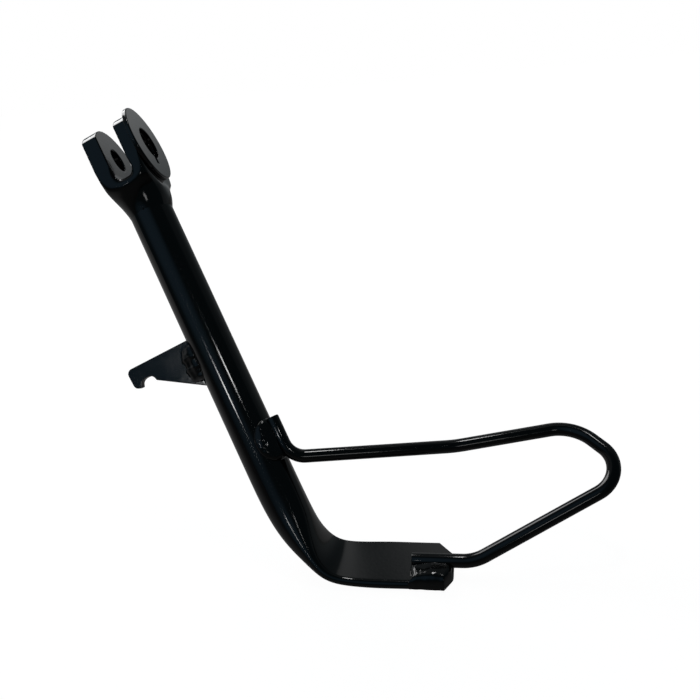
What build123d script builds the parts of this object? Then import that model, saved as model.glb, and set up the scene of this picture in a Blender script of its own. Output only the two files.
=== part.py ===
# Motorcycle side stand: a tube leg, bent and pressed flat into its foot, with a forged
# pivot fork, a pivot washer, a spring hook plate and a rod foot lever, welded into one part.
#
# The pieces are drawn in the leg's own frame: origin at the centre of the pivot bore, X along
# the pivot axis towards the washer, Z up the leg, and -Y the side that the spring works on.
# They are written in the ground frame of the stand when it is down: same origin, Z plumb,
# the sole of the foot level, and the pivot axis in the XZ plane.

import os
from math import atan2, cos, hypot, pi, radians, sin, tan

from build123d import *

# Leg tube, its bend and its pressed foot
tube_od = 26.9
tube_wall = 2.65
joint_drop = 36.5  # pivot axis to the butt joint of fork and tube
leg_drop = 279.0  # pivot axis to the corner of the bent centreline
bend_diameters = 2.045  # start of the bend above that corner, in tube diameters
bend_leg_fullness = 0.8  # how far the outer wall follows the leg into the bend
bend_foot_fullness = 0.89  # and how far back it follows the sole
bend_stations = 9
foot_reach = 84.3  # that corner to the end of the foot
foot_fall = 25.0  # foot below the direction of the pivot axis, degrees
foot_roll = 24.0  # sole turned about the foot's own axis, degrees
roll_delay = 1.5  # keeps the twist for the flat end of the bend
cavity_end_height = 1.4  # inner height at which the pressed walls close
far_corner_cut = 11.5
near_corner_radius = 10.5

# Pivot fork
slot_width = 12.4
slot_offset = 0.5  # slot's middle beside the leg axis
inner_ear_thickness = 10.2
outer_ear_thickness = 8.1
ear_width = 41.5
ear_top = 20.2
ear_crown_radius = 26.5
ear_corner_radius = 1.5
slot_depth = 20.0
slot_corner_radius = 3.0
saddle_round = 4.5
shoulder_top = 17.0  # pivot axis down to the start of the turned shoulder
shoulder_belly_drop = 24.4
shoulder_belly_radius = 23.2
shoulder_foot_drop = 33.0
bore_small = 14.7
bore_large = 20.4
spigot_length = 12.0
spigot_play = 0.15

# Pivot washer on the outer ear
washer_od = 48.6
washer_thickness = 2.8
washer_bevel = 0.5
keyway_width = 3.2
keyway_depth = 4.4

# Spring hook plate
hook_thickness = 4.0
hook_drop = 124.2  # pivot axis to the plate's upper edge
hook_reach = 57.8  # leg axis to the plate's tip
hook_nose_height = 13.6
hook_root_height = 31.2
hook_tip_slant = 1.0
hook_notch_radius = 4.2
hook_notch_reach = 46.8  # leg axis to the middle of the notch
hook_notch_width = 10.0
hook_corner_radius = 3.5

# Foot lever rod, with its free corners measured from the bend corner of the leg
lever_rod = 8.0
lever_side = 18.0  # seat on the tube, degrees round it from the pivot axis
lever_seat_top = 33.5  # above the start of the bend
lever_seat_bottom = 7.0
lever_knee = (106.0, 17.0, 25.1)
lever_shoulder = (174.5, 25.0, 5.8)
lever_tip = (191.8, 0.0, -28.9)
lever_foot_offset = 3.7  # beside the foot's centreline
lever_foot_run_out = 12.0  # lower bend beyond the foot's end
lever_foot_overlap = 24.0  # lower end back from the foot's end
lever_bend_radii = (14.0, 60.0, 25.0, 17.5, 26.0)

# Weld beads
ring_bead_height = 10.0
ring_bead_rise = 1.6
ring_bead_offset = 1.2  # the ring is thicker on the washer's side
seat_bead_length = 25.0
seat_bead_lap = 1.0  # above the rod's end
seat_bead_angle = 76.0  # reach round the tube from the pivot axis, degrees
seat_bead_rise = 5.2
foot_bead_length = 21.0
foot_bead_gap = 1.0  # bare foot left at its end
foot_bead_edge = 1.6  # bare foot left along its near edge
foot_bead_rise = 5.6
hook_bead_leg = 6.5
hook_bead_set_back = 2.4  # bead's ends inside the plate's edges
hook_bead_spread = 30.0  # reach round the tube from the plate, degrees
bead_crown = 0.9

# Sizes and directions that follow
tube_radius = tube_od / 2
bend_length = tube_od * bend_diameters
bore_radius = tube_radius - tube_wall
foot_thickness = 2 * tube_wall
slot_inner = slot_offset - slot_width / 2
slot_outer = slot_offset + slot_width / 2
fork_inner = slot_inner - inner_ear_thickness
fork_outer = slot_outer + outer_ear_thickness
hook_nose = -hook_drop - hook_nose_height
hook_root = -hook_drop - hook_root_height
fall = radians(foot_fall)
roll = radians(foot_roll)
turn = radians(90 - foot_fall)
foot_along = Vector(cos(fall), 0, -sin(fall))
foot_square = Vector(sin(fall), 0, cos(fall))
foot_up = foot_square * cos(roll) - Vector(0, 1, 0) * sin(roll)
bend_corner = Vector(0, 0, -leg_drop)
foot_end = Plane(origin=bend_corner + foot_along * foot_reach, x_dir=foot_along, z_dir=foot_up)
ground = Plane(origin=(0, 0, 0), x_dir=Vector(1, 0, 0) - foot_up * foot_up.X, z_dir=foot_up)


def pressed_width(thickness):
    """Width of the tube once pressed to a thickness, for its girth stays the same."""
    return thickness + pi * (tube_od - thickness) / 2


foot_width = pressed_width(foot_thickness)


def outer_wall():
    """Line of the bend's outer wall, from the leg to the sole, in the leg's XZ plane."""
    tangent = bend_length - tube_radius * tan(fall) + foot_thickness / 2 / cos(fall)
    start = Vector(-tube_radius, 0, -leg_drop + bend_length)
    corner = start - Vector(0, 0, tangent)
    end = corner + foot_along * tangent
    leg_handle = start + (corner - start) * bend_leg_fullness
    foot_handle = end + (corner - end) * bend_foot_fullness
    return Bezier(start, leg_handle, foot_handle, end)


def bend_frame(wall, share):
    """Outer point, inward direction, turn and tube thickness at a share of the bend.

    The inner wall stays straight in line with the leg until the walls meet.
    """
    outer = wall @ share
    tangent = wall % share
    angle = atan2(tangent.X, -tangent.Z)
    inward = Vector(cos(angle), 0, sin(angle))
    thickness = max(foot_thickness, (tube_radius - outer.X) / cos(angle))
    return outer, inward, angle, thickness


def pressed_face(plane, thickness, inset=0.0):
    """Section of the pressed tube: two tight side arcs and two flatter ones, all tangent."""
    pressed = (tube_od - thickness) / (tube_od - foot_thickness)
    flat = pressed > 0.999
    split = radians(45 + 45 * pressed)
    spread = 0.0
    side_radius = thickness / 2 - inset
    if not flat:
        spread = (pressed_width(thickness) - thickness) / 2 / (sin(split) + cos(split) - 1)
        side_radius = pressed_width(thickness) / 2 - spread * cos(split) - inset
    half_width = pressed_width(thickness) / 2 - inset
    crown = thickness / 2 - inset
    x = half_width - side_radius * (1 - cos(split))
    y = side_radius * sin(split)
    upper = Line((x, y), (-x, y)) if flat else ThreePointArc((x, y), (0, crown), (-x, y))
    lower = Line((-x, -y), (x, -y)) if flat else ThreePointArc((-x, -y), (0, -crown), (x, -y))
    right = ThreePointArc((x, -y), (half_width, 0), (x, y))
    left = ThreePointArc((-x, y), (-half_width, 0), (-x, -y))
    return plane * make_face([right, upper, left, lower])


def bend_face(wall, share, inset=0.0):
    """Section of the tube at a share of the bend, drawn in by the wall for its cavity."""
    outer, inward, angle, thickness = bend_frame(wall, share)
    twist = roll * (angle / turn) ** roll_delay
    across = Vector(0, -1, 0) * cos(twist) - inward * sin(twist)
    along = Vector(sin(angle), 0, -cos(angle))
    plane = Plane(origin=outer + inward * (thickness / 2), x_dir=across, z_dir=along)
    return pressed_face(plane, thickness, inset)


def closing_share(wall):
    """Share of the bend at which the cavity has shrunk to its end height."""
    low, high = 0.0, 1.0
    while high - low > 0.001:
        share = (low + high) / 2
        inner_height = bend_frame(wall, share)[3] - 2 * tube_wall
        if inner_height > cavity_end_height:
            low = share
        else:
            high = share
    return low


def upright(radius, z_low, z_high):
    """Round bar on the leg axis between two heights."""
    return Pos(0, 0, z_low) * extrude(Circle(radius), z_high - z_low)


def on_tube(angle, height=0.0):
    """Point beside the leg axis, degrees round from the pivot axis towards the near side."""
    reach = tube_radius + height
    return Vector(reach * cos(radians(angle)), -reach * sin(radians(angle)), 0)


def foot_blade(wall):
    """Flat of the foot: a pressed tube, its far corner clipped and its near one rounded."""
    start = wall @ 1 + foot_square * (foot_thickness / 2)
    length = (foot_end.origin - start).length
    section = Plane(origin=start, x_dir=foot_end.y_dir * -1, z_dir=foot_along)
    blade = extrude(pressed_face(section, foot_thickness), length)
    w = foot_width / 2
    outline = Polyline(
        (-2 * length, w),
        (-far_corner_cut, w),
        (0, w - far_corner_cut),
        (0, -w),
        (-2 * length, -w),
        close=True,
    )
    blank = make_face(outline)
    near_corner = blank.vertices().sort_by(Axis.X)[-2:].sort_by(Axis.Y)[0]
    blank = fillet(near_corner, near_corner_radius)
    return blade & extrude(foot_end * blank, foot_thickness, both=True)


def leg_tube():
    """Round tube, bent towards the washer side and pressed flat into the foot."""
    wall = outer_wall()
    bend_top = -leg_drop + bend_length
    shares = [k / bend_stations for k in range(bend_stations + 1)]
    skin = loft([bend_face(wall, share) for share in shares])
    leg = upright(tube_radius, bend_top, -joint_drop) + skin + foot_blade(wall)
    close = closing_share(wall)
    shares = [close * k / bend_stations for k in range(bend_stations + 1)]
    cavity = loft([bend_face(wall, share, tube_wall) for share in shares])
    return leg - cavity - upright(bore_radius, bend_top, -joint_drop)


def fork():
    """Forged fork: two ears, a rounded saddle, a turned shoulder and a spigot in the tube."""
    crown = Pos(0, ear_top - ear_crown_radius) * Circle(ear_crown_radius)
    side = crown & Pos(0, ear_top - ear_width / 2) * Rectangle(ear_width, ear_width)
    crown_centre = ear_top - ear_crown_radius
    stem = Rectangle(ear_width, joint_drop + crown_centre)
    side += Pos(0, (crown_centre - joint_drop) / 2) * stem
    side = fillet(side.vertices().group_by(Axis.Y)[-1], ear_corner_radius)
    body = extrude(Plane.YZ.offset(fork_inner) * side, fork_outer - fork_inner)
    corner_radius = hypot(ear_width / 2, max(fork_outer, -fork_inner))
    envelope = Polyline(
        (0, ear_top),
        (corner_radius, ear_top),
        (corner_radius, -shoulder_top),
        (shoulder_belly_radius, -shoulder_belly_drop),
        (tube_radius, -shoulder_foot_drop),
        (tube_radius, -joint_drop),
        (0, -joint_drop),
        close=True,
    )
    body &= revolve(Plane.XZ * make_face(envelope), Axis.Z)
    gap = slot_depth + ear_top
    slot = Pos(slot_offset, ear_top - gap / 2) * Rectangle(slot_width, gap)
    slot = fillet(slot.vertices().group_by(Axis.Y)[0], slot_corner_radius)
    body -= extrude(Plane.XZ * slot, ear_width, both=True)
    body -= extrude(Plane.YZ * Circle(bore_large / 2), fork_outer)
    body -= extrude(Plane.YZ * Circle(bore_small / 2), fork_inner)
    floor = Pos(0, -slot_depth - ear_width / 2) * RectangleRounded(ear_width, ear_width, saddle_round)
    lips = Pos(0, -slot_depth - saddle_round / 2) * Rectangle(ear_width, saddle_round) - floor
    body -= extrude(Plane.YZ.offset(slot_inner) * lips, slot_width)
    return body + upright(bore_radius - spigot_play, -joint_drop - spigot_length, -joint_drop)


def pivot_washer():
    """Large washer on the outer ear, its rim bevelled and its bore keyed at the bottom."""
    washer = extrude(Plane.YZ.offset(fork_outer) * Circle(washer_od / 2), washer_thickness)
    washer = chamfer(washer.edges().sort_by(Axis.X)[-1], washer_bevel)
    key_height = bore_large / 2 + keyway_depth
    bore = Circle(bore_large / 2) + Pos(0, -key_height / 2) * Rectangle(keyway_width, key_height)
    return washer - extrude(Plane.YZ.offset(fork_outer) * bore, washer_thickness)


def spring_hook():
    """Plate hook for the return spring, cut to the tube and notched on its lower edge."""
    outline = Polyline(
        (0, -hook_drop),
        (-hook_reach, -hook_drop),
        (-hook_reach + hook_tip_slant, hook_nose),
        (-hook_notch_reach + hook_notch_width / 2, hook_nose),
        (-tube_radius, hook_root),
        (0, hook_root),
        close=True,
    )
    plate = make_face(outline)
    plate = fillet(plate.vertices().sort_by(Axis.X)[:2], hook_corner_radius)
    plate -= Pos(-hook_notch_reach, hook_nose) * SlotOverall(hook_notch_width, 2 * hook_notch_radius)
    hook = extrude(Plane.XZ * plate, hook_thickness / 2, both=True)
    return hook - upright(tube_radius, hook_root - 1, -hook_drop + 1)


def lever_corners():
    """Corners of the lever rod's centreline, from its seat on the tube to the foot."""
    seat = on_tube(lever_side, lever_rod / 2)
    lift = foot_thickness / 2 + lever_rod / 2
    on_foot = foot_end.from_local_coords(Vector(0, -lever_foot_offset, lift))
    return [
        bend_corner + seat + Vector(0, 0, bend_length + lever_seat_top),
        bend_corner + seat + Vector(0, 0, bend_length + lever_seat_bottom),
        bend_corner + Vector(*lever_knee),
        bend_corner + Vector(*lever_shoulder),
        bend_corner + Vector(*lever_tip),
        on_foot + foot_along * lever_foot_run_out,
        on_foot - foot_along * lever_foot_overlap,
    ]


def foot_lever():
    """Round rod bent into the loop that the rider's foot pushes."""
    path = FilletPolyline(*lever_corners(), radius=list(lever_bend_radii))
    start = Plane(origin=path @ 0, z_dir=path % 0)
    return sweep(start * Circle(lever_rod / 2), path)


def crowned_face(toe, top, *rest):
    """Section of a fillet bead: a crowned line from toe to top, closed inside the pieces."""
    toe, top = Vector(*toe), Vector(*top)
    outward = Vector(0, 0, 1).cross(top - toe).normalized()
    if outward.dot(toe - Vector(*rest[0])) < 0:
        outward = outward * -1
    crown = ThreePointArc(toe, (toe + top) / 2 + outward * bead_crown, top)
    return make_face([crown, Polyline(top, *rest, toe)])


def fork_weld(neighbours):
    """Ring bead over the butt joint of fork and tube."""
    high, low = -joint_drop + ring_bead_height / 2, -joint_drop - ring_bead_height / 2
    inside = bore_radius + tube_wall / 2
    bulge = (tube_radius + ring_bead_rise, -joint_drop)
    crown = ThreePointArc((tube_radius, high), bulge, (tube_radius, low))
    back = Polyline((tube_radius, low), (inside, low), (inside, high), (tube_radius, high))
    ring = revolve(Plane.XZ * make_face([crown, back]), Axis.Z)
    return Pos(ring_bead_offset, 0, 0) * ring - neighbours


def hook_weld(side, neighbours):
    """Fillet bead in the corner of the plate and the tube; side is 1 near and -1 far."""
    face_y = -side * hook_thickness / 2
    toe = on_tube(180 - side * hook_bead_spread)
    top = (-tube_radius - hook_bead_leg, face_y)
    section = crowned_face((toe.X, toe.Y), top, (-tube_radius + tube_wall, 0))
    height = hook_root_height - 2 * hook_bead_set_back
    return Pos(0, 0, hook_root + hook_bead_set_back) * extrude(section, height) - neighbours


def degrees_round(arc):
    """Angle round the tube that an arc on its surface spans, degrees."""
    return arc / tube_radius * 180 / pi


def lever_seat_weld(neighbours):
    """Broad bead from the lever rod round the near side of the tube."""
    toe = on_tube(seat_bead_angle)
    rod = on_tube(lever_side, lever_rod / 2)
    flank = on_tube(lever_side + degrees_round(lever_rod / 2), seat_bead_rise)
    section = crowned_face((toe.X, toe.Y), (flank.X, flank.Y), (rod.X, rod.Y), (0, 0))
    top = -leg_drop + bend_length + lever_seat_top + seat_bead_lap
    bead = Pos(0, 0, top - seat_bead_length) * extrude(section, seat_bead_length)
    bead -= upright(bore_radius, top - seat_bead_length, top)
    return bead - neighbours


def lever_foot_weld(neighbours):
    """Wedge bead from the lever rod down to the near edge of the foot."""
    section_plane = Plane(
        origin=foot_end.origin - foot_along * foot_bead_gap,
        x_dir=foot_end.y_dir * -1,
        z_dir=foot_along * -1,
    )
    top = foot_thickness / 2
    toe = (foot_width / 2 - foot_bead_edge, top - foot_bead_edge)
    flank = (lever_foot_offset, top + foot_bead_rise)
    section = crowned_face(toe, flank, (lever_foot_offset, 0), (toe[0], 0))
    return extrude(section_plane * section, foot_bead_length) - neighbours


def main():
    tube, forging, hook, lever = leg_tube(), fork(), spring_hook(), foot_lever()
    pieces = {
        "leg_tube": tube,
        "pivot_fork": forging,
        "pivot_washer": pivot_washer(),
        "spring_hook": hook,
        "foot_lever": lever,
        "fork_weld": fork_weld([tube, forging]),
        "hook_weld_near": hook_weld(1, [tube, hook]),
        "hook_weld_far": hook_weld(-1, [tube, hook]),
        "lever_seat_weld": lever_seat_weld([tube, lever]),
        "lever_foot_weld": lever_foot_weld([tube, lever]),
    }
    os.makedirs("parts", exist_ok=True)
    for name, piece in pieces.items():
        export_step(ground.to_local_coords(piece), f"parts/{name}.step")
        print(name, piece.is_valid, round(piece.volume, 1), len(piece.faces()), len(piece.solids()))


main()
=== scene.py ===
from math import acos, atan2, cos, exp, hypot, pi, radians, sin, tan

import bmesh
import bpy
from mathutils import Matrix, Vector, noise


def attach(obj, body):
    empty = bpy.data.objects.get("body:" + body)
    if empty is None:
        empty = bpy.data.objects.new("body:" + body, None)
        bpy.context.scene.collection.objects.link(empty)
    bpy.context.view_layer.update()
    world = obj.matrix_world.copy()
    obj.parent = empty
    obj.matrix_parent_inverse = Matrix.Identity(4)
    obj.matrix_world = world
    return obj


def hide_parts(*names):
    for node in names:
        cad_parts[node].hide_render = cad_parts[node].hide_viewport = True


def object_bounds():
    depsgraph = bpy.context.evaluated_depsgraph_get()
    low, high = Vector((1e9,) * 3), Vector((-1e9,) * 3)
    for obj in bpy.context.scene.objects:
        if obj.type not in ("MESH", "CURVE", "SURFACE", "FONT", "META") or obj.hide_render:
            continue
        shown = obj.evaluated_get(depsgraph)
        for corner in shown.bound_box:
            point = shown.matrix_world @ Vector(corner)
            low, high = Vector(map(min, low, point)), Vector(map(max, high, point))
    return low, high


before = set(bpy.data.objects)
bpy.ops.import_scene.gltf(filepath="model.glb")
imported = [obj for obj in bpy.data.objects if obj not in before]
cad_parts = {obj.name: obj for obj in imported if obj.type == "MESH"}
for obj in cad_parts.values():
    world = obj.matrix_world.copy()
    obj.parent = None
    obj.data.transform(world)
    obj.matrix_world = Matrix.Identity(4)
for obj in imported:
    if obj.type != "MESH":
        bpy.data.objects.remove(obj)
cad_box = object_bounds()

# All sizes are in metres.
mm = 0.001

# Leg's own frame, as in the CAD: X along the pivot axis, Z up the leg, -Y the near side
foot_fall = radians(25)
foot_roll = radians(24)
leg_drop = 279 * mm
foot_along = Vector((cos(foot_fall), 0, -sin(foot_fall)))
foot_square = Vector((sin(foot_fall), 0, cos(foot_fall)))
foot_up = foot_square * cos(foot_roll) - Vector((0, 1, 0)) * sin(foot_roll)
foot_side = foot_up.cross(foot_along)
ground_x = (Vector((1, 0, 0)) - foot_up * foot_up.x).normalized()
to_ground = Matrix((ground_x, foot_up.cross(ground_x), foot_up)).to_4x4()

# Leg tube, its bend and its foot
tube_radius = 13.45 * mm
tube_wall = 2.65 * mm
joint_drop = 36.5 * mm
bend_length = 55.1 * mm
bend_leg_fullness = 0.809
bend_foot_fullness = 0.84
bend_crease = 2.2 * mm
roll_delay = 0.86
foot_reach = 84.3 * mm
foot_thickness = 2 * tube_wall
flat_onset = 6  # power with which the foot's thickness takes over along the bend
flat_limit = 0.999  # pressed share above which a section counts as flat
round_split = radians(45)  # where the side's arc meets the crown's on the round tube
far_cut = (9 * mm, 12 * mm)  # along the foot and across it
near_cut = (5 * mm, 10 * mm)
near_cut_power = 0.8
edge_softness = 0.8 * mm
bend_corner = Vector((0, 0, -leg_drop))
foot_end = bend_corner + foot_along * foot_reach

# Extra half width of the bend and the foot, at even steps from the start of the bend
near_swell = [step * mm for step in (0.0, 1.0, 1.0, -0.1, 0.4)]
far_swell = [step * mm for step in (0.4, 0.35, -1.0, -0.6, 0.5)]
swell_spacing = 0.22  # these three are shares of the bend
swell_width = 0.2
swell_start = 0.15
swell_foot_length = 50 * mm  # length of foot that counts as one more bend

# Leg's mesh
leg_points = 128
straight_rings = 120
bend_rings = 64
blade_rings = 20
foot_end_rings = 40
foot_end_length = 12 * mm
foot_edge_angles = (20, 40, 60, 80)
easing_passes = 30

# Foot lever rod
rod_radius = 4 * mm
lever_side = radians(18)
lever_seat_heights = (88.5 * mm, 62 * mm)  # above the bend's corner
lever_knee = Vector((106, 17, 25.1)) * mm
lever_shoulder = Vector((174.5, 25, 5.8)) * mm
lever_tip = Vector((191.8, 0, -28.9)) * mm
lever_foot_offset = 3.7 * mm
lever_run_out = 12 * mm
lever_overlap = 24 * mm
lever_bend_radii = (14 * mm, 60 * mm, 25 * mm, 17.5 * mm, 26 * mm)
rod_end_softness = 0.7 * mm
rod_end_angles = (80, 55, 30, 0)
rod_points = 48
rod_arc_step = radians(3)

# Pieces whose edges are softened from the CAD solids
same_point = 0.001 * mm
smooth_factor = 0.5
fork_voxel = 0.43 * mm
fork_rounds = 7
shoulder_rounds = 200
shoulder_heights = (-11 * mm, -20 * mm)  # where these rounds set in, and where all of them act
washer_voxel = 0.3 * mm
washer_rounds = 3
hook_voxel = 0.3 * mm
hook_rounds = 4

# Lumps and ripples of the weld beads
lumps_per_metre = 190
ripples_per_metre = 520

# Ring bead of the fork's joint, which melts into the fork
joint_bead_top = -28.5 * mm
joint_bead_length = 16 * mm
joint_bead_root = 5.2 * mm  # out from the tube, under the shoulder
joint_root_power = 2.2
joint_crown = 0.2 * mm
joint_washer_crown = 1.9 * mm  # more of it on the washer's side
joint_washer_power = 1.5
joint_crown_pace = 1.1
joint_crown_power = 1.3
joint_left_flat = 15.7 * mm  # sides of the fork, which end the bead
joint_right_flat = 15.9 * mm
joint_flat_power = 12
joint_bead_core = 0.8  # size of its first ring, inside the fork
joint_bead_points = 144
joint_bead_rings = 48
joint_lump = 0.15 * mm

# Drops of spatter by the fork's joint: angle round the leg, height, stand-off, radius
fork_spatter = ((84, -27.5, 4.4, 0.6), (70, -33.0, 1.6, 0.5), (98, -26.0, 5.6, 0.5), (88, -41.5, 0.1, 0.6))

# Fillet beads of the spring hook
hook_bead_low = -152 * mm
hook_bead_high = -127 * mm
hook_bead_toe = 8.2 * mm  # along the plate, from the tube
hook_bead_face = 1.9 * mm  # just inside the plate's face, from its middle
hook_bead_turn = radians(36)  # round the tube, from the plate
hook_bead_heel_sink = 0.1 * mm
hook_bead_corner = (1.5 * mm, 0.5 * mm)  # inside the tube and beside the plate's middle
hook_bead_outward = (-0.55, 0.83)
hook_bead_bulge = 1.5 * mm
hook_bead_groove = 0.25 * mm
hook_bead_end_power = 5
hook_bead_end_depth = 0.98
hook_bead_back = 0.3  # share of the way out from the corner
hook_bead_waves = ((0.03, 1900), (0.07, 870))  # share and radians per metre
hook_bead_rings = 48
hook_bead_steps = 24
hook_bead_lump = 0.25 * mm
hook_bead_ripple = 0.02 * mm

# Oval bead at the lever's seat
seat_bead_middle = radians(30)  # round the tube from the pivot axis
seat_bead_half_turn = 11.5 * mm / tube_radius
seat_bead_height = -leg_drop + 76 * mm
seat_bead_half_height = 13.6 * mm
seat_bead_rise = 2.2 * mm
seat_bead_rod_rise = 2.0 * mm  # more of it towards the rod
seat_bead_full_angle = radians(20)
seat_bead_fade_angle = radians(-14)
seat_bead_dome_power = 5
seat_bead_points = 120
seat_bead_rings = 44
seat_bead_sunk_rings = ((0.97, 0.8 * mm), (0.6, 1.6 * mm))  # share of the oval, and depth in the tube
seat_bead_lump = 0.3 * mm
seat_bead_ripple = 0.13 * mm

# Block bead of the lever on the foot
foot_bead_middle = 12.5 * mm  # back from the foot's end
foot_bead_half_length = 11.9 * mm
foot_bead_overhang = 0.5 * mm
foot_bead_rise = 5.4 * mm
foot_bead_back_power = 4
foot_bead_front_power = 9
foot_bead_wave = (0.05, 0.21)  # share, and radians from ring to ring
foot_bead_ragged = 0.36 * mm
foot_bead_ragged_pace = 0.11
foot_bead_ragged_place = (0, 7)  # in the noise
foot_bead_brow_power = 6
foot_bead_brow_fullness = 0.6
foot_bead_slump = 3.8 * mm
foot_bead_slump_start = 0.6
foot_bead_slump_power = 3
foot_bead_lean = 1.5 * mm
foot_bead_lean_pace = 3
foot_bead_lean_place = (2, 5)
foot_bead_lean_start = 0.5
foot_bead_depth = 1.3 * mm
foot_bead_under_width = 0.85
foot_bead_rings = 80
foot_bead_steps = 56
foot_bead_lump = 0.14 * mm
foot_bead_ripple = 0.02 * mm

# Enamel
enamel_ior = 1.5
enamel_dark = (0.0007, 0.0009, 0.0011)
enamel_light = (0.0014, 0.0017, 0.0019)
haze_scale = 45
haze_detail = 6
haze_range = (0.35, 0.75)
roughness_range = (0.06, 0.14)
peel_scale = 420
peel_detail = 2
grit_scale = 1500
grit_detail = 4
tube_peel = 0.02 * mm
forging_peel = 0.03 * mm
forging_grit = 0.01 * mm
bead_peel = 0.04 * mm
bead_grit = 0.025 * mm

# Floor. Each range is a stretch in metres, and then the levels at its ends.
floor_half_size = 6.0
floor_matte = 0.1  # share of the lamps' light that it scatters
floor_seen_by_distance = (0.4, 1.3, 0.975, 1.0)
floor_mirrored_by_y = (-0.25, 0.05, 0.03, 0.23)
floor_mirrored_by_x = (0.0, 0.6, 1.0, 0.35)

# Sky. Each range is a stretch of one coordinate of the direction, and then the levels at its
# ends. Each patch has its azimuth, elevation and half width in degrees, and its level.
backdrop_by_y = (-0.02, 0.14, 0.0, 0.23)
backdrop_by_z = (0.0, 0.5, 1.0, 0.4)
backdrop_by_x = (-0.1, 0.6, 1.0, 0.4)
backdrop_patches = ((167, 14, 11, 0.3), (168, 36, 10.5, 0.3))
room_color = (0.6, 0.95, 1.1)
room_level = 0.045
window_color = (0.42, 0.7, 1.0)
window_patch = (-46, 36, 42, 0.2)
white = (1, 1, 1)

# Lamps: name, azimuth and elevation in degrees, distance and size in metres, power in watts.
# The narrow ones light the middle of the tube, and make its two short highlights.
narrow_lamps = (
    ("left_window", -29.5, 22.2, 1.6, (0.22, 0.12), 0.0036),
    ("right_window", 23, 41.4, 1.6, (0.32, 0.11), 0.0044),
)
narrow_spread = 7
narrow_lamp_height = 128 * mm  # above the bend's corner
wide_lamps = (
    ("front_window", 4, 16, 1.6, (0.22, 0.17), 0.32),
    ("top_window", 169, 79.5, 1.6, (0.12, 0.3), 2.0),
    ("tall_box", -145, 40, 1.9, (0.7, 1.3), 11),
    ("low_box", -162, 6, 1.9, (0.5, 0.3), 0.2),
)

# Camera, fitted to the photograph, with its place and directions in the ground frame
camera_lens = 38.57  # this and the sensor are in millimetres
camera_sensor = 36
camera_near_limit = 0.01
camera_place = Vector((130.9, -493.6, 52.0)) * mm
camera_back = Vector((0.000, -0.928, 0.373))
camera_right = Vector((0.9958, -0.034, -0.085))


# Pieces
def add_piece(name, mesh, material, *nodes):
    """Puts a mesh that is drawn in the leg's frame into the scene, in place of CAD nodes."""
    mesh.transform(to_ground)
    piece = bpy.data.objects.new(name, mesh)
    bpy.context.scene.collection.objects.link(piece)
    mesh.materials.append(material)
    mesh.polygons.foreach_set("use_smooth", [True] * len(mesh.polygons))
    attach(piece, "root")
    if nodes:
        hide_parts(*nodes)
    return piece


def skin(name, rings):
    """Closed mesh through rings of points, with a fan at each end."""
    count = len(rings[0])
    points = [point for ring in rings for point in ring]
    faces = []
    for k in range(len(rings) - 1):
        for j in range(count):
            a, b = k * count + j, k * count + (j + 1) % count
            faces.append((a, b, b + count, a + count))
    for ring, first in ((rings[0], 0), (rings[-1], (len(rings) - 1) * count)):
        middle = len(points)
        points.append(sum(ring, Vector()) / count)
        for j in range(count):
            a, b = first + j, first + (j + 1) % count
            faces.append((middle, b, a) if first == 0 else (middle, a, b))
    mesh = bpy.data.meshes.new(name)
    mesh.from_pydata(points, [], faces)
    work = bmesh.new()
    work.from_mesh(mesh)
    bmesh.ops.recalc_face_normals(work, faces=work.faces)
    work.to_mesh(mesh)
    work.free()
    return mesh


# Leg tube
def pressed_width(thickness):
    """Width of the round tube when it is pressed to a thickness, with its girth kept."""
    return thickness + pi * (2 * tube_radius - thickness) / 2


foot_width = pressed_width(foot_thickness)


def oval(thickness, share):
    """Point at a share of the way round the pressed tube's section, from its near side."""
    pressed = (2 * tube_radius - thickness) / (2 * tube_radius - foot_thickness)
    split = round_split + (radians(90) - round_split) * pressed
    half_width = pressed_width(thickness) / 2
    spread = (half_width - thickness / 2) / max(sin(split) + cos(split) - 1, 1e-6)
    flat = pressed > flat_limit
    side_radius = thickness / 2 if flat else half_width - spread * cos(split)
    quarter = share * 4
    mirror_x = -1 if 1 < quarter < 3 else 1
    mirror_y = -1 if quarter > 2 else 1
    part = quarter % 2
    part = 2 - part if part > 1 else part
    if part < 0.5:
        angle = split * part * 2
        x = half_width - side_radius * (1 - cos(angle))
        y = side_radius * sin(angle)
    elif flat:
        x = (half_width - side_radius) * (2 - 2 * part)
        y = thickness / 2
    else:
        angle = split + (pi / 2 - split) * (part * 2 - 1)
        crown_radius = side_radius + spread
        x = crown_radius * cos(angle)
        y = thickness / 2 - crown_radius * (1 - sin(angle))
    return x * mirror_x, y * mirror_y


def outer_wall(share):
    """Place and direction of the bend's outer wall at a share of the bend."""
    tangent = bend_length - tube_radius * tan(foot_fall) + foot_thickness / 2 / cos(foot_fall)
    a = Vector((-tube_radius, 0, -leg_drop + bend_length))
    corner = a - Vector((0, 0, tangent))
    d = corner + foot_along * tangent
    b = a.lerp(corner, bend_leg_fullness)
    c = d.lerp(corner, bend_foot_fullness)
    s = 1 - share
    place = a * s**3 + b * 3 * s * s * share + c * 3 * s * share**2 + d * share**3
    slope = (b - a) * s * s + (c - b) * 2 * s * share + (d - c) * share * share
    return place, slope.normalized()


blade_start = foot_reach - (outer_wall(1)[0] - bend_corner).dot(foot_along)


def swell(share, steps):
    """Extra half width of the pressed tube at a share of the bend, above 1 for the foot."""
    return sum(step * exp(-(((share - swell_spacing * k) / swell_width) ** 2))
               for k, step in enumerate(steps, 1))


def swollen(x, share, half_width):
    """Place across the pressed tube with the swell of its near or far side."""
    steps = near_swell if x > 0 else far_swell
    return x * (1 + swell(share, steps) / half_width * min(1.0, share / swell_start))


def straight_ring(height):
    """Ring of the round tube, with its points where the bend's first ring has them."""
    ring = []
    for j in range(leg_points):
        x, y = oval(2 * tube_radius, j / leg_points)
        ring.append(Vector((-y, -x, height)))
    return ring


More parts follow.
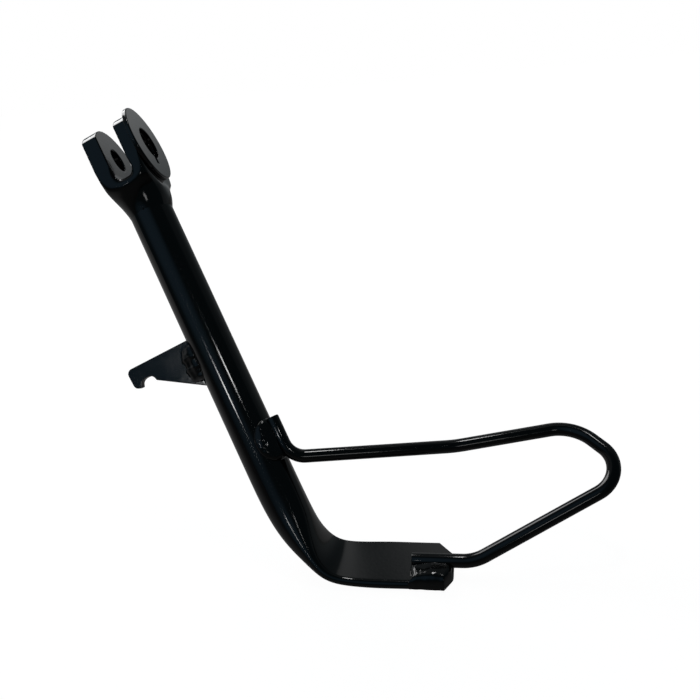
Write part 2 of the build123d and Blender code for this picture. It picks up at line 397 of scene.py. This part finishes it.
def bend_ring(share):
    """Ring of the bend at a share of it."""
    outer, slope = outer_wall(share)
    angle = atan2(slope.x, -slope.z)
    inward = Vector((cos(angle), 0, sin(angle)))
    straight = (tube_radius - outer.x) / cos(angle)
    thickness = (straight + foot_thickness + hypot(straight - foot_thickness, bend_crease)) / 2
    flat = share**flat_onset
    thickness = min(thickness, 2 * tube_radius) * (1 - flat) + foot_thickness * flat
    twist = foot_roll * (angle / (pi / 2 - foot_fall)) ** roll_delay
    across = Vector((0, -1, 0)) * cos(twist) - inward * sin(twist)
    upward = slope.cross(across)
    middle = outer + inward * thickness / 2
    ring = []
    for j in range(leg_points):
        x, y = oval(thickness, j / leg_points)
        x = swollen(x, share, pressed_width(thickness) / 2)
        ring.append(middle + across * x + upward * y)
    return ring


def near_corner_cut(reach):
    """Width that the near corner loses at a reach from the foot's end."""
    return near_cut[1] * max(0.0, 1 - (reach / near_cut[0]) ** near_cut_power)


def blade_ring(reach, shrink=0.0):
    """Ring of the flat foot at a reach from its end, with its two corners taken off."""
    far_limit = foot_width / 2 - far_cut[1] * max(0.0, 1 - reach / far_cut[0])
    near_limit = foot_width / 2 - near_corner_cut(reach)
    middle = foot_end - foot_along * reach
    ring = []
    for j in range(leg_points):
        x, y = oval(foot_thickness, j / leg_points)
        limit = near_limit if x > 0 else far_limit
        x *= (limit - shrink) / (foot_width / 2)
        x = swollen(x, 1 + (blade_start - reach) / swell_foot_length, foot_width / 2)
        y *= 1 - 2 * shrink / foot_thickness
        ring.append(middle - foot_side * x - foot_up * y)
    return ring


def eased(rings, passes):
    """Rings with their points evened out along the leg, but for the first and the last."""
    for _ in range(passes):
        middle = [[(a + b * 2 + c) / 4 for a, b, c in zip(*rings[k - 1:k + 2])]
                  for k in range(1, len(rings) - 1)]
        rings = [rings[0], *middle, rings[-1]]
    return rings


def make_leg(material):
    top = straight_ring(-joint_drop)
    bend_top = straight_ring(-leg_drop + bend_length)
    rings = [[a.lerp(b, k / straight_rings) for a, b in zip(top, bend_top)] for k in range(straight_rings)]
    rings += [bend_ring(k / bend_rings) for k in range(bend_rings + 1)]
    rings += [blade_ring(blade_start + (foot_end_length - blade_start) * k / blade_rings)
              for k in range(1, blade_rings)]
    rings = eased(rings, easing_passes)
    rings += [blade_ring(foot_end_length * (1 - k / foot_end_rings)) for k in range(foot_end_rings)]
    for degrees in foot_edge_angles:
        a = radians(degrees)
        rings.append(blade_ring(edge_softness * (1 - sin(a)), edge_softness * (1 - cos(a))))
    return add_piece("leg", skin("leg", rings), material, "leg_tube")


# Foot lever
def rounded_path(corners, radii, step):
    """Points along straight runs whose corners are arcs."""
    path = [corners[0]]
    for before, corner, after, radius in zip(corners, corners[1:], corners[2:], radii):
        back = (before - corner).normalized()
        ahead = (after - corner).normalized()
        half = acos(back.dot(ahead)) / 2
        centre = corner + (back + ahead).normalized() * radius / sin(half)
        start = corner + back * radius / tan(half) - centre
        axis = back.cross(start).normalized()
        sweep = pi - 2 * half
        count = max(2, round(sweep / step))
        for k in range(count + 1):
            path.append(centre + Matrix.Rotation(sweep * k / count, 3, axis) @ start)
    return path + [corners[-1]]


def rod_rings(path):
    """Rings of the rod along a path, carried on from one to the next without a twist."""
    rings = []
    turns = [2 * pi * j / rod_points for j in range(rod_points)]
    slope = (path[1] - path[0]).normalized()
    side = slope.orthogonal().normalized()
    for k, point in enumerate(path):
        ahead = path[min(k + 1, len(path) - 1)] - point
        behind = point - path[max(k - 1, 0)]
        slope = (ahead.normalized() + behind.normalized()).normalized()
        side = (side - slope * side.dot(slope)).normalized()
        other = slope.cross(side)
        out = [side * cos(t) + other * sin(t) for t in turns]
        if k in (0, len(path) - 1):
            inward = slope if k == 0 else slope * -1
            ends = []
            for degrees in rod_end_angles:
                a = radians(degrees)
                shift, shrink = rod_end_softness * (1 - sin(a)), rod_end_softness * (1 - cos(a))
                ends.append([point + inward * shift + o * (rod_radius - shrink) for o in out])
            rings += ends if k == 0 else ends[::-1]
        else:
            rings.append([point + o * rod_radius for o in out])
    return rings


def lever_path():
    """Middle line of the rod, from its end on the tube to its end on the foot."""
    stand_off = tube_radius + rod_radius
    seat = Vector((stand_off * cos(lever_side), -stand_off * sin(lever_side), 0))
    lift = foot_up * (foot_thickness / 2 + rod_radius)
    on_foot = foot_end - foot_side * lever_foot_offset + lift
    top, bottom = lever_seat_heights
    corners = [
        bend_corner + seat + Vector((0, 0, top)),
        bend_corner + seat + Vector((0, 0, bottom)),
        bend_corner + lever_knee,
        bend_corner + lever_shoulder,
        bend_corner + lever_tip,
        on_foot + foot_along * lever_run_out,
        on_foot - foot_along * lever_overlap,
    ]
    return rounded_path(corners, lever_bend_radii, rod_arc_step)


def make_lever(material):
    return add_piece("lever", skin("lever", rod_rings(lever_path())), material, "foot_lever")


# Softened pieces
def applied(piece):
    """New scratch object with the first one's modifiers applied."""
    bpy.context.view_layer.update()
    graph = bpy.context.evaluated_depsgraph_get()
    mesh = bpy.data.meshes.new_from_object(piece.evaluated_get(graph))
    name = piece.name
    bpy.data.objects.remove(piece)
    result = bpy.data.objects.new(name, mesh)
    bpy.context.scene.collection.objects.link(result)
    return result


def add_smooth(piece, rounds):
    smooth = piece.modifiers.new("smooth", "SMOOTH")
    smooth.factor = smooth_factor
    smooth.iterations = rounds
    return smooth


def soften(node, name, voxel, rounds, material, low_rounds=0, low_heights=(), joined=None):
    """Copy of a CAD node with its edges rounded as forging and thick enamel round them.

    The extra rounds work below a height in the leg's frame, and fade out above it. A joined
    mesh, of a bead in the leg's frame and its CAD node, melts into the copy.
    """
    nodes = [node]
    work = bmesh.new()
    work.from_mesh(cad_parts[node].data)
    bmesh.ops.remove_doubles(work, verts=work.verts, dist=same_point)
    if joined:
        bead, bead_node = joined
        bead.transform(to_ground)
        work.from_mesh(bead)
        nodes.append(bead_node)
    mesh = bpy.data.meshes.new(name)
    work.to_mesh(mesh)
    work.free()
    mesh.materials.clear()
    piece = bpy.data.objects.new(name, mesh)
    bpy.context.scene.collection.objects.link(piece)
    remesh = piece.modifiers.new("remesh", "REMESH")
    remesh.mode = "VOXEL"
    remesh.voxel_size = voxel
    add_smooth(piece, rounds)
    if low_rounds:
        piece = applied(piece)
        group = piece.vertex_groups.new(name="low")
        to_leg = to_ground.inverted()
        none_at, all_at = low_heights
        for vertex in piece.data.vertices:
            height = (to_leg @ vertex.co).z
            weight = min(1.0, max(0.0, (none_at - height) / (none_at - all_at)))
            group.add([vertex.index], weight, "REPLACE")
        add_smooth(piece, low_rounds).vertex_group = "low"
    return apply_and_add(piece, material, *nodes)


def apply_and_add(piece, material, *nodes):
    """Applies a scratch object's modifiers and adds the result as a piece."""
    piece = applied(piece)
    name, mesh = piece.name, piece.data
    bpy.data.objects.remove(piece)
    mesh.transform(to_ground.inverted())
    return add_piece(name, mesh, material, *nodes)


def make_softened(forged_enamel, smooth_enamel):
    soften("pivot_fork", "fork", fork_voxel, fork_rounds, forged_enamel, shoulder_rounds, shoulder_heights,
           (fork_bead(), "fork_weld"))
    soften("pivot_washer", "washer", washer_voxel, washer_rounds, smooth_enamel)
    soften("spring_hook", "hook", hook_voxel, hook_rounds, smooth_enamel)


# Weld beads
def on_tube(angle, height, rise=0.0):
    """Place on the tube, an angle round from the pivot axis towards the near side."""
    reach = tube_radius + rise
    return Vector((reach * cos(angle), -reach * sin(angle), height))


def wrinkle(mesh, lump, ripple, seed):
    """Moves a bead's skin in and out, as metal that was melted on by hand."""
    offset = Vector((seed, seed * 2, seed * 3))
    moves = []
    for vertex in mesh.vertices:
        coarse = noise.noise(vertex.co * lumps_per_metre + offset)
        fine = noise.noise(vertex.co * ripples_per_metre + offset)
        moves.append(vertex.co + vertex.normal * (lump * coarse + ripple * fine))
    for vertex, place in zip(mesh.vertices, moves):
        vertex.co = place
    mesh.update()
    return mesh


def fork_joint_ring(share):
    """Ring of the joint's bead, from the fork's shoulder (0) down to the tube (1)."""
    height = joint_bead_top - share * joint_bead_length
    root = joint_bead_root * (1 - share) ** joint_root_power
    crowned = sin(pi * min(1.0, share * joint_crown_pace)) ** joint_crown_power
    ring = []
    for j in range(joint_bead_points):
        angle = 2 * pi * j / joint_bead_points
        right = max(0.0, cos(angle)) ** joint_washer_power
        reach = tube_radius + root + (joint_crown + joint_washer_crown * right) * crowned
        flat = joint_left_flat if cos(angle) < 0 else joint_right_flat
        limit = flat / max(abs(cos(angle)), 1e-3)
        reach = (reach**-joint_flat_power + limit**-joint_flat_power) ** (-1 / joint_flat_power)
        ring.append(on_tube(angle, height, reach - tube_radius))
    return ring


def fork_bead():
    """Bead that fills the corner of the shoulder and the tube, fuller on the washer's side."""
    inside = Vector((0, 0, joint_bead_top * (1 - joint_bead_core)))
    start = [point * joint_bead_core + inside for point in fork_joint_ring(0)]
    rings = [start] + [fork_joint_ring(k / joint_bead_rings) for k in range(joint_bead_rings + 1)]
    return wrinkle(skin("fork_bead", rings), joint_lump, 0.0, 1)


def make_spatter(material):
    """Drops of metal that stuck beside the fork's joint."""
    mesh = bpy.data.meshes.new("spatter")
    work = bmesh.new()
    for angle, height, rise, size in fork_spatter:
        matrix = Matrix.Translation(on_tube(radians(angle), height * mm, rise * mm))
        bmesh.ops.create_icosphere(work, subdivisions=3, radius=size * mm, matrix=matrix)
    work.to_mesh(mesh)
    work.free()
    return add_piece("spatter", mesh, material)


def hook_bead(name, side, seed):
    """Fillet bead in the corner of the hook plate and the tube."""
    sunk, beside = hook_bead_corner
    corner = Vector((-tube_radius + sunk, side * beside, 0))
    outward = Vector((hook_bead_outward[0], side * hook_bead_outward[1], 0))
    (fine_share, fine_pace), (slow_share, slow_pace) = hook_bead_waves
    rings = []
    for k in range(hook_bead_rings + 1):
        u = -cos(pi * k / hook_bead_rings)
        full = (1 - abs(u) ** hook_bead_end_power * hook_bead_end_depth) ** 0.5
        height = (hook_bead_low + hook_bead_high) / 2 + u * (hook_bead_high - hook_bead_low) / 2
        wave = 1 + fine_share * sin(height * fine_pace + seed) + slow_share * sin(height * slow_pace)
        toe = Vector((-tube_radius - hook_bead_toe * wave, side * hook_bead_face, 0))
        heel = on_tube(pi + side * hook_bead_turn * wave, 0, -hook_bead_heel_sink)
        level = Vector((0, 0, height))
        ring = []
        for j in range(hook_bead_steps + 1):
            t = j / hook_bead_steps
            bulge = hook_bead_bulge * sin(pi * t) + hook_bead_groove * sin(3 * pi * t)
            point = toe.lerp(heel, t) + outward * bulge
            ring.append(corner + (point - corner) * full + level)
        ring += [corner + (end - corner) * hook_bead_back * full + level for end in (heel, toe)]
        rings.append(ring)
    return wrinkle(skin(name, rings), hook_bead_lump, hook_bead_ripple, seed)


def seat_bead():
    """Domed oval bead from the lever rod round the near side of the tube."""
    far_angle = seat_bead_middle + seat_bead_half_turn
    shares = [sin(pi / 2 * k / seat_bead_rings) for k in range(1, seat_bead_rings + 1)]
    rings = []
    for share, sink in [*((share, 0.0) for share in shares), *seat_bead_sunk_rings]:
        ring = []
        for j in range(seat_bead_points):
            turn = 2 * pi * j / seat_bead_points
            angle = seat_bead_middle + seat_bead_half_turn * share * cos(turn)
            toward = min(1.0, (far_angle - angle) / (far_angle - seat_bead_full_angle))
            faded = (angle - seat_bead_fade_angle) / (seat_bead_full_angle - seat_bead_fade_angle)
            full = (seat_bead_rise + seat_bead_rod_rise * toward) * min(1.0, max(0.0, faded))
            rise = -sink if sink else full * (1 - share**seat_bead_dome_power) ** 0.5
            height = seat_bead_height + seat_bead_half_height * share * sin(turn)
            ring.append(on_tube(angle, height, rise))
        rings.append(ring)
    return wrinkle(skin("lever_seat_bead", rings), seat_bead_lump, seat_bead_ripple, 5)


def foot_bead():
    """Block of weld metal from the lever rod to the near edge of the foot and over it."""
    start = lever_foot_offset
    wave_share, wave_pace = foot_bead_wave
    rings = []
    for k in range(foot_bead_rings + 1):
        u = -cos(pi * k / foot_bead_rings)
        reach = foot_bead_middle + u * foot_bead_half_length
        power = foot_bead_back_power if u > 0 else foot_bead_front_power
        full = (1 - abs(u) ** power) ** 0.5 * (1 + wave_share * sin(k * wave_pace))
        width = foot_width / 2 + foot_bead_overhang - start - near_corner_cut(reach)
        ragged = foot_bead_ragged * noise.noise(Vector((k * foot_bead_ragged_pace, *foot_bead_ragged_place)))
        base = foot_end - foot_along * reach
        ring = []
        for j in range(foot_bead_steps + 1):
            t = j / foot_bead_steps
            out = sin(pi / 2 * t)
            across = start + (width + ragged * t) * out
            brow = (1 - out**foot_bead_brow_power) ** foot_bead_brow_fullness
            slumped = max(0.0, (t - foot_bead_slump_start) / (1 - foot_bead_slump_start))
            rise = foot_bead_rise * brow * full + foot_thickness / 2
            rise -= foot_bead_slump * slumped**foot_bead_slump_power
            lean = 0.0
            if u > foot_bead_lean_start:
                lean = foot_bead_lean * noise.noise(Vector((t * foot_bead_lean_pace, *foot_bead_lean_place)))
            ring.append(base - foot_side * across + foot_up * rise - foot_along * lean)
        under = base - foot_up * foot_bead_depth
        ring.append(under - foot_side * (start + width * foot_bead_under_width))
        ring.append(under - foot_side * start)
        rings.append(ring)
    return wrinkle(skin("lever_foot_bead", rings), foot_bead_lump, foot_bead_ripple, 7)


def make_welds(material):
    make_spatter(material)
    add_piece("hook_bead_near", hook_bead("hook_bead_near", -1, 2), material, "hook_weld_near")
    add_piece("hook_bead_far", hook_bead("hook_bead_far", 1, 4), material, "hook_weld_far")
    add_piece("lever_seat_bead", seat_bead(), material, "lever_seat_weld")
    add_piece("lever_foot_bead", foot_bead(), material, "lever_foot_weld")


# Materials
def node_tree(owner):
    """Emptied node tree of a material or a world."""
    owner.use_nodes = True
    tree = owner.node_tree
    tree.nodes.clear()
    return tree


def enamel(name, peel, grit):
    """Gloss black enamel: a faint orange peel, a little dust in the gloss, and grit."""
    material = bpy.data.materials.new(name)
    tree = node_tree(material)
    new, link = tree.nodes.new, tree.links.new
    out = new("ShaderNodeOutputMaterial")
    paint = new("ShaderNodeBsdfPrincipled")
    place = new("ShaderNodeTexCoord")
    paint.inputs["IOR"].default_value = enamel_ior
    link(paint.outputs["BSDF"], out.inputs["Surface"])

    def noise_node(scale, detail):
        texture = new("ShaderNodeTexNoise")
        texture.inputs["Scale"].default_value = scale
        texture.inputs["Detail"].default_value = detail
        link(place.outputs["Object"], texture.inputs["Vector"])
        return texture.outputs["Fac"]

    def bump_node(height, distance):
        bump = new("ShaderNodeBump")
        bump.inputs["Strength"].default_value = 1
        bump.inputs["Distance"].default_value = distance
        link(height, bump.inputs["Height"])
        return bump

    haze = noise_node(haze_scale, haze_detail)
    tone = new("ShaderNodeMix")
    tone.data_type = "RGBA"
    tone.inputs["A"].default_value = (*enamel_dark, 1)
    tone.inputs["B"].default_value = (*enamel_light, 1)
    link(haze, tone.inputs["Factor"])
    link(tone.outputs["Result"], paint.inputs["Base Color"])
    dull = new("ShaderNodeMapRange")
    dull.inputs["From Min"].default_value, dull.inputs["From Max"].default_value = haze_range
    dull.inputs["To Min"].default_value, dull.inputs["To Max"].default_value = roughness_range
    link(haze, dull.inputs["Value"])
    link(dull.outputs["Result"], paint.inputs["Roughness"])
    orange = bump_node(noise_node(peel_scale, peel_detail), peel)
    rough = bump_node(noise_node(grit_scale, grit_detail), grit)
    link(orange.outputs["Normal"], rough.inputs["Normal"])
    link(rough.outputs["Normal"], paint.inputs["Normal"])
    return material


# Surroundings
def camera_and_mirror_rays(tree):
    """1 for the camera's rays, and 1 for the rays in which metal and glass show the background."""
    rays = tree.nodes.new("ShaderNodeLightPath")
    either = tree.nodes.new("ShaderNodeMath")
    either.operation = "MAXIMUM"
    tree.links.new(rays.outputs["Is Glossy Ray"], either.inputs[0])
    tree.links.new(rays.outputs["Is Transmission Ray"], either.inputs[1])
    return rays.outputs["Is Camera Ray"], either.outputs[0]


def ramp(tree, value, low, high, at_low, at_high):
    """Smooth step of a value from one level to another."""
    step = tree.nodes.new("ShaderNodeMapRange")
    step.interpolation_type = "SMOOTHSTEP"
    step.inputs["From Min"].default_value = low
    step.inputs["From Max"].default_value = high
    step.inputs["To Min"].default_value = at_low
    step.inputs["To Max"].default_value = at_high
    tree.links.new(value, step.inputs["Value"])
    return step.outputs["Result"]


def combine(tree, operation, a, b):
    node = tree.nodes.new("ShaderNodeMath")
    node.operation = operation
    tree.links.new(a, node.inputs[0])
    tree.links.new(b, node.inputs[1])
    return node.outputs[0]


def direction(azimuth, elevation):
    """Direction away from the object. Azimuth 0 is the camera's side, plus is to its right."""
    a, e = radians(azimuth), radians(elevation)
    return Vector((sin(a) * cos(e), -cos(a) * cos(e), sin(e)))


def make_floor():
    """Plain floor at the height of the sole, white to the camera, with the object's shadow.

    The enamel mirrors a dimmer floor, brightest behind the object and dimmer on its right.
    """
    height = cad_box[0].z
    half = floor_half_size
    mesh = bpy.data.meshes.new("floor")
    corners = [(x, y, height) for x, y in ((-half, -half), (half, -half), (half, half), (-half, half))]
    mesh.from_pydata(corners, [], [(0, 1, 2, 3)])
    floor = bpy.data.objects.new("floor", mesh)
    bpy.context.scene.collection.objects.link(floor)
    material = bpy.data.materials.new("floor_white")
    tree = node_tree(material)
    new, link = tree.nodes.new, tree.links.new
    out = new("ShaderNodeOutputMaterial")
    matte = new("ShaderNodeBsdfDiffuse")
    glow = new("ShaderNodeEmission")
    both = new("ShaderNodeAddShader")
    place = new("ShaderNodeNewGeometry")
    away = new("ShaderNodeVectorMath")
    away.operation = "LENGTH"
    split = new("ShaderNodeSeparateXYZ")
    link(place.outputs["Position"], away.inputs[0])
    link(place.outputs["Position"], split.inputs["Vector"])
    camera, reflected = camera_and_mirror_rays(tree)
    seen = combine(tree, "MULTIPLY", camera, ramp(tree, away.outputs["Value"], *floor_seen_by_distance))
    by_y = ramp(tree, split.outputs["Y"], *floor_mirrored_by_y)
    by_x = ramp(tree, split.outputs["X"], *floor_mirrored_by_x)
    mirrored = combine(tree, "MULTIPLY", reflected, combine(tree, "MULTIPLY", by_y, by_x))
    link(combine(tree, "ADD", seen, mirrored), glow.inputs["Strength"])
    glow.inputs["Color"].default_value = (*white, 1)
    matte.inputs["Color"].default_value = (floor_matte, floor_matte, floor_matte, 1)
    link(matte.outputs["BSDF"], both.inputs[0])
    link(glow.outputs["Emission"], both.inputs[1])
    link(both.outputs["Shader"], out.inputs["Surface"])
    mesh.materials.append(material)


def make_world():
    """White to the camera, and otherwise a dark room.

    Reflections see a pale blue window at the front left, and the dimmed backdrop with two
    brighter patches behind the object.
    """
    world = bpy.data.worlds.new("studio")
    bpy.context.scene.world = world
    tree = node_tree(world)
    new, link = tree.nodes.new, tree.links.new
    out = new("ShaderNodeOutputWorld")
    place = new("ShaderNodeTexCoord")
    split = new("ShaderNodeSeparateXYZ")
    link(place.outputs["Generated"], split.inputs["Vector"])
    camera, reflected = camera_and_mirror_rays(tree)

    def background(color, level=1.0, strength=None):
        node = new("ShaderNodeBackground")
        node.inputs["Color"].default_value = (*color, 1)
        node.inputs["Strength"].default_value = level
        if strength is not None:
            link(strength, node.inputs["Strength"])
        return node.outputs["Background"]

    def added(a, b):
        node = new("ShaderNodeAddShader")
        link(a, node.inputs[0])
        link(b, node.inputs[1])
        return node.outputs["Shader"]

    def patch(azimuth, elevation, half_width, level):
        """Soft round patch of light at a place in the sky."""
        near = new("ShaderNodeVectorMath")
        near.operation = "DOT_PRODUCT"
        near.inputs[1].default_value = direction(azimuth, elevation)
        link(place.outputs["Generated"], near.inputs[0])
        return ramp(tree, near.outputs["Value"], cos(radians(half_width)), 1.0, 0.0, level)

    by_y = ramp(tree, split.outputs["Y"], *backdrop_by_y)
    by_z = ramp(tree, split.outputs["Z"], *backdrop_by_z)
    by_x = ramp(tree, split.outputs["X"], *backdrop_by_x)
    backdrop = combine(tree, "MULTIPLY", combine(tree, "MULTIPLY", by_y, by_z), by_x)
    for values in backdrop_patches:
        backdrop = combine(tree, "ADD", backdrop, patch(*values))
    backdrop = combine(tree, "MULTIPLY", backdrop, reflected)
    room = background(room_color, room_level)
    room = added(room, background(window_color, strength=patch(*window_patch)))
    room = added(room, background(white, strength=backdrop))
    choose = new("ShaderNodeMixShader")
    link(camera, choose.inputs["Fac"])
    link(room, choose.inputs[1])
    link(background(white), choose.inputs[2])
    link(choose.outputs["Shader"], out.inputs["Surface"])


def lamp(aim, spread, name, azimuth, elevation, distance, size, power):
    """Soft box aimed at a place."""
    away = direction(azimuth, elevation)
    data = bpy.data.lights.new(name, "AREA")
    data.shape = "RECTANGLE"
    data.size, data.size_y = size
    data.energy = power
    data.spread = radians(spread)
    box = bpy.data.objects.new(name, data)
    box.location = aim + away * distance
    box.rotation_euler = away.to_track_quat("Z", "Y").to_euler()
    bpy.context.scene.collection.objects.link(box)


def make_lights():
    on_tube_front = to_ground @ Vector((0, -tube_radius, -leg_drop + narrow_lamp_height))
    for values in narrow_lamps:
        lamp(on_tube_front, narrow_spread, *values)
    for values in wide_lamps:
        lamp((cad_box[0] + cad_box[1]) / 2, 180, *values)


def make_camera():
    data = bpy.data.cameras.new("camera")
    data.lens = camera_lens
    data.sensor_width = camera_sensor
    data.clip_start = camera_near_limit
    camera = bpy.data.objects.new("camera", data)
    back = camera_back.normalized()
    right = (camera_right - back * camera_right.dot(back)).normalized()
    rotation = Matrix((right, back.cross(right), back)).transposed()
    camera.matrix_world = Matrix.Translation(camera_place) @ rotation.to_4x4()
    bpy.context.scene.collection.objects.link(camera)
    bpy.context.scene.camera = camera


def main():
    smooth_enamel = enamel("enamel_on_tube", tube_peel, 0.0)
    forged_enamel = enamel("enamel_on_forging", forging_peel, forging_grit)
    bead_enamel = enamel("enamel_on_beads", bead_peel, bead_grit)
    make_leg(smooth_enamel)
    make_lever(smooth_enamel)
    make_softened(forged_enamel, smooth_enamel)
    make_welds(bead_enamel)
    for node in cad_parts.values():
        for slot in node.material_slots:
            slot.material = smooth_enamel
    make_floor()
    make_world()
    make_lights()
    make_camera()
    bpy.context.scene.view_settings.view_transform = "Standard"


main()
